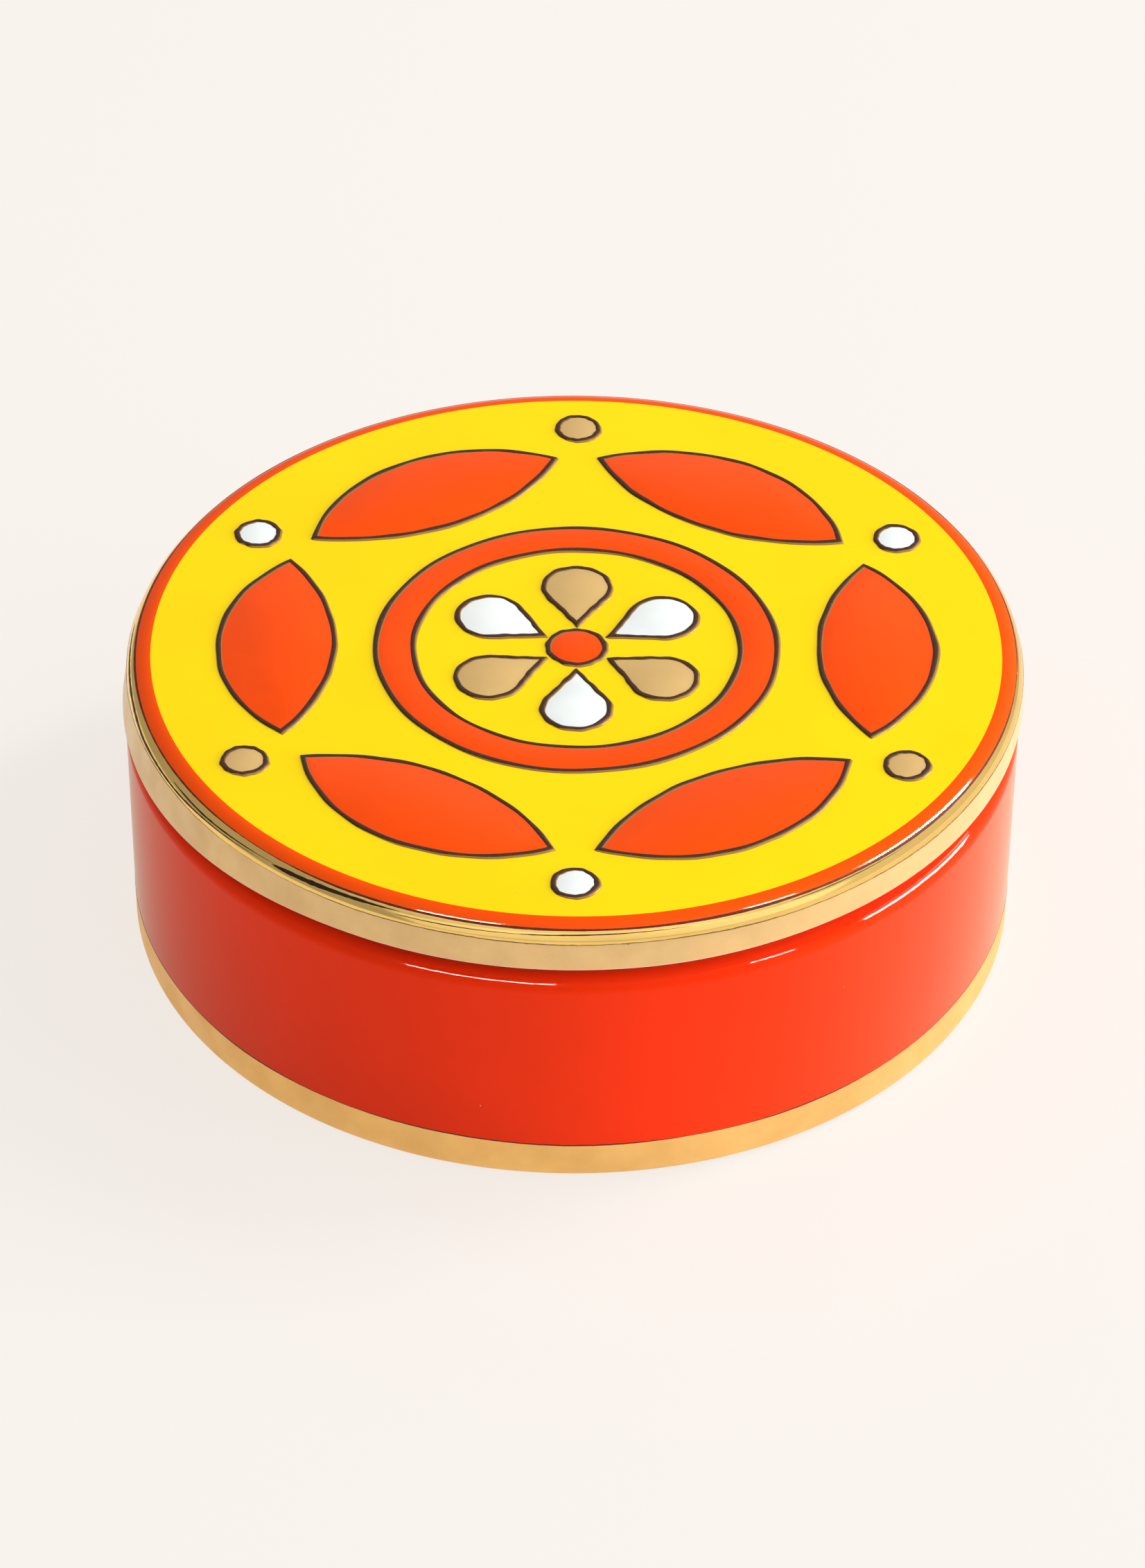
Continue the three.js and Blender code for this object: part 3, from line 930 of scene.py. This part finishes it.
PAPER = colour(248, 243, 237)
BACKDROP_SHARE = 0.84
CAMERA_ELEVATION = 38.119
CAMERA_DISTANCE = 1.4
CAMERA_PIVOT = 0.027
CAMERA_PLACE = Vector((
    0,
    -CAMERA_DISTANCE * cosine(CAMERA_ELEVATION),
    CAMERA_DISTANCE * sine(CAMERA_ELEVATION) + CAMERA_PIVOT,
))
CAMERA_AIM = (0.00011, 0, 0.02492)
CAMERA_LENS = 179.13  # millimetres
CAMERA_ROLL = 0.436
FLOOR_REACH = 6.0
SKY_LEVEL = 0.395
# Patches of sky: direction, the angles where each is full and where it ends, and its share of the level
SKY_PATCHES = [
    ((1, -0.1, 0.25), 20, 75, 2.0),
    ((-0.8, -0.4, 0.4), 15, 55, 1.05),
    ((0, -0.78, 0.7), 12, 38, 1.15),
    ((0, -0.25, 0.97), 10, 42, 1.9),
]
# Long lamps: two ends, width and radiance
GOLD_ROOM = ((-1.1, -1.3, 0.65), (2.2, -1.1, 0.65), 1.2, 0.5)
FRONT_GLOSS = ((-1.3, -0.7, 1.12), (1.3, -0.7, 1.12), 0.8, 0.08)
SIDE_LAMP = ((1.5, -0.9, 0.35), (1.5, 0.7, 0.35), 0.5, 10)
# Lamps that the crown mirrors: two azimuths, lift and thickness in degrees, and radiance
LAMP_REACH = 1.6  # from the box
KEY_LAMP = (39, 62, 60, 9, 27)
# Highlights: a name, the same five values, and the one piece that shows it
HIGHLIGHTS = [
    ("crown_key", 41, 61, 60, 10, 50, "border_glaze_ring"),
    ("crown_left", -20, -9, 61, 4, 90, "border_glaze_ring"),
    ("crown_right", 22, 29, 61, 4, 90, "border_glaze_ring"),
    ("shoulder_key", 40, 61, 47, 14, 150, "wall_glaze"),
    ("shoulder_left", -21, -2, 48, 4, 250, "wall_glaze"),
    ("shoulder_right", 23, 29, 48, 6, 210, "wall_glaze"),
]


def floor():
    """Pale, slightly glossy paper. Seen or mirrored, it is mostly a plain backdrop with a faint shadow."""
    made, tree, where = material("floor")
    tone = tree.noise(where, 60, detail=4)
    base = tree.blend(tone, shaded(PAPER, 0.98), PAPER)
    lit = tree.add("BsdfPrincipled", {"Base Color": base, "Roughness": 0.35, "IOR": 1.9}).outputs[0]
    plain = tree.add("Emission", {"Color": PAPER, "Strength": 1.0}).outputs[0]
    rays = tree.add("LightPath").outputs
    seen = tree.math("MAXIMUM", rays["Is Camera Ray"], rays["Is Glossy Ray"])
    seen = tree.math("MAXIMUM", seen, rays["Is Transmission Ray"])
    share = tree.math("MULTIPLY", seen, BACKDROP_SHARE)
    mixed = tree.add("MixShader", {0: share, 1: lit, 2: plain}).outputs[0]
    tree.add("OutputMaterial", {"Surface": mixed})
    mesh = bpy.data.meshes.new("floor")
    signs = [(-1, -1), (1, -1), (1, 1), (-1, 1)]
    mesh.from_pydata([(x * FLOOR_REACH, y * FLOOR_REACH, 0) for x, y in signs], [], [(0, 1, 2, 3)])
    mesh.materials.append(made)
    plane = bpy.data.objects.new("floor", mesh)
    bpy.context.scene.collection.objects.link(plane)


def sky(level, patches):
    """A soft white surround of one level, with brighter round patches."""
    world = bpy.data.worlds.new("studio")
    bpy.context.scene.world = world
    world.use_nodes = True
    tree = Tree(world.node_tree)
    where = tree.add("TexCoord").outputs["Generated"]
    strength = level
    for direction, full, end, share in patches:
        aim = Vector(direction).normalized()
        facing = tree.add("VectorMath", {0: where, 1: aim}, operation="DOT_PRODUCT").outputs["Value"]
        change = tree.spread(facing, cosine(end), cosine(full), 1.0, share)
        strength = tree.math("MULTIPLY", strength, change)
    light = tree.add("Background", {"Color": (1.0, 0.99, 0.975, 1.0), "Strength": strength})
    tree.add("OutputWorld", {"Surface": light.outputs[0]})


def mirrored_place(azimuth, lift, reach):
    """Where a lamp stands that the lid's crown mirrors to the camera.

    azimuth is the crown's, in degrees from the front, and lift is how far its normal rises there.
    """
    out = Vector((sine(azimuth), -cosine(azimuth), 0))
    place = (out * (FLAT_RADIUS + CROWN_RADIUS * cosine(lift)) + Vector((0, 0, LID_TOP))) * MM
    normal = out * cosine(lift) + Vector((0, 0, sine(lift)))
    view = (CAMERA_PLACE - place).normalized()
    return place + (2 * normal.dot(view) * normal - view) * reach


def softbox(name, first, last, width, radiance):
    """A long soft lamp from one point to another. It faces the box, and the camera doesn't see it."""
    first, last = Vector(first), Vector(last)
    middle = (first + last) / 2
    along = (last - first).normalized()
    out = (middle - along * middle.dot(along)).normalized()
    data = bpy.data.lights.new(name, "AREA")
    data.shape = "RECTANGLE"
    data.size = (last - first).length
    data.size_y = width
    data.energy = radiance * math.pi * data.size * data.size_y
    made = bpy.data.objects.new(name, data)
    made.visible_camera = False
    bpy.context.scene.collection.objects.link(made)
    axes = Matrix((along, out.cross(along), out)).transposed().to_4x4()
    made.matrix_world = Matrix.Translation(middle) @ axes
    return made


def mirrored_box(name, first, last, lift, thickness, radiance):
    """A softbox that the crown mirrors from one azimuth to another. Its thickness is in degrees."""
    ends = [mirrored_place(azimuth, lift, LAMP_REACH) for azimuth in (first, last)]
    return softbox(name, *ends, math.radians(thickness) * LAMP_REACH, radiance)


def show_on(lamp, name):
    """Keeps a lamp to the gloss of one piece."""
    lamp.visible_diffuse = False
    shown = bpy.data.collections.new(lamp.name)
    shown.objects.link(bpy.data.objects[name])
    lamp.light_linking.receiver_collection = shown


def camera(aim, lens, roll):
    data = bpy.data.cameras.new("camera")
    data.sensor_width = 36
    data.lens = lens
    data.clip_start, data.clip_end = 0.05, 50
    made = bpy.data.objects.new("camera", data)
    bpy.context.scene.collection.objects.link(made)
    look = (Vector(aim) - CAMERA_PLACE).to_track_quat("-Z", "Y").to_matrix().to_4x4()
    spin = Matrix.Rotation(math.radians(roll), 4, "Z")
    made.matrix_world = Matrix.Translation(CAMERA_PLACE) @ look @ spin
    bpy.context.scene.camera = made


def studio():
    floor()
    sky(SKY_LEVEL, SKY_PATCHES)
    mirrored_box("key", *KEY_LAMP)
    for name, *lamp, shown_on in HIGHLIGHTS:
        show_on(mirrored_box(name, *lamp), shown_on)
    show_on(softbox("gold_room", *GOLD_ROOM), "edge_gold_glossy")
    softbox("front_gloss", *FRONT_GLOSS).visible_diffuse = False
    softbox("side", *SIDE_LAMP).visible_glossy = False
    camera(CAMERA_AIM, CAMERA_LENS, CAMERA_ROLL)
    bpy.context.scene.view_settings.view_transform = "Standard"


base_pieces()
lid_pieces()
motifs()
studio()
